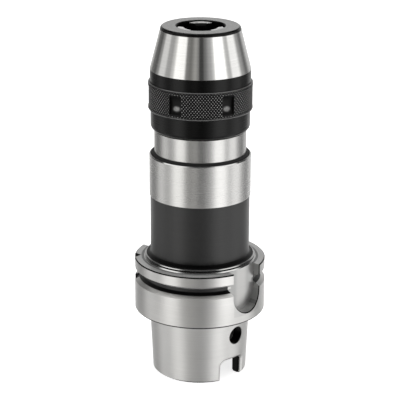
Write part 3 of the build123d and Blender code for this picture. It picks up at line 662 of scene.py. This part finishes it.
def knurl_mesh():
    """A closed ring whose outside is a diamond knurl: raised pyramids with small worn flats between crossing grooves."""
    verts, faces = [], []

    def vert(azd, r, z):
        a = 2 * math.pi * azd / (2 * COLS)
        verts.append((r * math.sin(a) * MM, -r * math.cos(a) * MM, z * MM))
        return len(verts) - 1

    n = 2 * COLS
    hz = (KZ1 - KZ0) / ROWS
    low = {}
    edge = {}
    # groove crossings lie where column + row is even; the ends of the knurl run out on a plain step
    for j in range(ROWS + 1):
        for i in range(n):
            if (i + j) % 2 == 0:
                low[i, j] = vert(i, KR - DEPTH, KZ0 + j * hz)
    for j, rr in ((0, KR - DEPTH), (ROWS, KR - DEPTH)):
        for i in range(n):
            if (i + j) % 2 == 1:
                edge[i, j] = vert(i, rr, KZ0 + j * hz)
    for j in range(0, ROWS + 1):
        for i in range(n):
            if (i + j) % 2 == 1 and 0 < j < ROWS:
                l, r_ = low[(i - 1) % n, j], low[(i + 1) % n, j]
                d, u = low[i, j - 1], low[i, j + 1]
                tops = []
                for share, drop in ((0.34, 0.115), (0.235, 0.030), (FLAT, 0.0)):
                    tops.append([vert(i - share, KR - drop, KZ0 + j * hz), vert(i, KR - drop, KZ0 + (j - share) * hz),
                                 vert(i + share, KR - drop, KZ0 + j * hz), vert(i, KR - drop, KZ0 + (j + share) * hz)])
                ring_low = (l, d, r_, u)
                for a, b in zip([ring_low] + tops, tops):
                    for q in range(4):
                        q2 = (q + 1) % 4
                        faces.append((a[q], a[q2], b[q2], b[q]))
                faces.append(tuple(tops[-1]))
            elif (i + j) % 2 == 1 and j == 0:
                l, r_, u = low[(i - 1) % n, 0], low[(i + 1) % n, 0], low[i, 1]
                e = edge[i, 0]
                tl, tr, tu = vert(i - FLAT, KR, KZ0 + 0.02), vert(i + FLAT, KR, KZ0 + 0.02), vert(i, KR, KZ0 + FLAT * hz)
                faces += [(tl, tr, tu), (l, tl, tu, u), (tr, r_, u, tu), (l, e, tl), (e, tr, tl), (e, r_, tr)]
            elif (i + j) % 2 == 1 and j == ROWS:
                l, r_, d = low[(i - 1) % n, j], low[(i + 1) % n, j], low[i, j - 1]
                e = edge[i, j]
                tl, tr, td = vert(i - FLAT, KR, KZ1 - 0.02), vert(i + FLAT, KR, KZ1 - 0.02), vert(i, KR, KZ1 - FLAT * hz)
                faces += [(td, tr, tl), (l, d, td, tl), (d, r_, tr, td), (l, tl, e), (tl, tr, e), (tr, r_, e)]

    def ring(r, z):
        return [vert(i, r, z) for i in range(n)]

    def bridge(a, b):
        for i in range(n):
            k = (i + 1) % n
            faces.append((a[i], a[k], b[k], b[i]))

    first = [low[i, 0] if i % 2 == 0 else edge[i, 0] for i in range(n)]
    last = [low[i, ROWS] if (i + ROWS) % 2 == 0 else edge[i, ROWS] for i in range(n)]
    gap = 0.10
    rings = [first, ring(KR - 0.02, KZ0 - gap), ring(KR - 0.02, Z0 + CH0 + 0.04), ring(KR - 0.06, Z0 + CH0 - 0.03),
             ring(KR - CH0 + 0.02, Z0 + 0.05), ring(KR - CH0 - 0.06, Z0), ring(KI + 0.05, Z0), ring(KI, Z0 + 0.05),
             ring(KI, Z1 - 0.05), ring(KI + 0.05, Z1), ring(KR - CH1 - 0.05, Z1), ring(KR - CH1 + 0.02, Z1 - 0.04),
             ring(KR - 0.05, Z1 - CH1 + 0.03), ring(KR - 0.02, Z1 - CH1 - 0.04), ring(KR - 0.02, KZ1 + gap), last]
    for a, b in zip(rings, rings[1:]):
        bridge(b, a)
    me = bpy.data.meshes.new("knurl_band")
    me.from_pydata(verts, [], faces)
    me.validate()
    me.update()
    return me


def cutter_mesh(azd, centre_r, zc, radius, width, seg=96, corner=0.25):
    """A disc with its axis tangent to the ring; the corner is slightly rounded, as on a used cutter."""
    a = math.radians(azd)
    rad = Vector((math.sin(a), -math.cos(a), 0))
    tan = Vector((math.cos(a), math.sin(a), 0))
    prof = [(-width / 2, radius - corner), (-width / 2 + corner * 0.3, radius - corner * 0.3), (-width / 2 + corner, radius),
            (width / 2 - corner, radius), (width / 2 - corner * 0.3, radius - corner * 0.3), (width / 2, radius - corner)]
    verts, faces = [], []
    for k in range(seg):
        th = 2 * math.pi * (k + 0.37) / seg
        for w_, rr in prof:
            p = rad * (centre_r + rr * math.cos(th)) + tan * w_ + Vector((0, 0, zc + rr * math.sin(th)))
            verts.append(p * MM)
    m = len(prof)
    for k in range(seg):
        k2 = (k + 1) % seg
        for q in range(m - 1):
            faces.append((k * m + q, k * m + q + 1, k2 * m + q + 1, k2 * m + q))
    faces.append([k * m for k in range(seg)][::-1])
    faces.append([k * m + m - 1 for k in range(seg)])
    return verts, faces


def solid_from(name, parts):
    verts, faces = [], []
    for v, f_ in parts:
        base = len(verts)
        verts += v
        faces += [[i + base for i in q] for q in f_]
    me = bpy.data.meshes.new(name)
    me.from_pydata([tuple(v) for v in verts], [], faces)
    me.validate()
    me.update()
    return me


def outward(me):
    """Turns every face to look out of its closed shell."""
    import bmesh
    bm = bmesh.new()
    bm.from_mesh(me)
    bmesh.ops.recalc_face_normals(bm, faces=bm.faces)
    vol = bm.calc_volume(signed=True)
    if vol < 0:
        bmesh.ops.reverse_faces(bm, faces=bm.faces)
    bm.to_mesh(me)
    bm.free()


band = knurl_mesh()
outward(band)
ring_o = bpy.data.objects.new("knurled_band", band)
scene.collection.objects.link(ring_o)
SLOT_R = math.sqrt(7.6 ** 2 - 5.15 ** 2) + 24.65
cut = solid_from("cutters", [cutter_mesh(31.7 + 60 * k, SLOT_R, 106.15, 7.6, 6.0) for k in range(6)])
outward(cut)
cut_o = bpy.data.objects.new("cutters", cut)
scene.collection.objects.link(cut_o)
mod = ring_o.modifiers.new("slots", "BOOLEAN")
mod.operation = "DIFFERENCE"
mod.solver = "EXACT"
mod.object = cut_o
bpy.context.view_layer.update()
dg = bpy.context.evaluated_depsgraph_get()
done = bpy.data.meshes.new_from_object(ring_o.evaluated_get(dg))
ring_o.modifiers.clear()
ring_o.data = done
done.name = "knurled_band"
bpy.data.objects.remove(cut_o)
bpy.data.meshes.remove(cut)
bpy.data.meshes.remove(band)
done.materials.clear()
done.materials.append(MATS["knurl"])
done.polygons.foreach_set("material_index", [0] * len(done.polygons))
done.polygons.foreach_set("use_smooth", [False] * len(done.polygons))
done.update()
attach(ring_o, "sleeve")
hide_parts("knurled_ring")

# ------------------------------------------------------------------ close
SIZE["visual"] = plain(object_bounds())
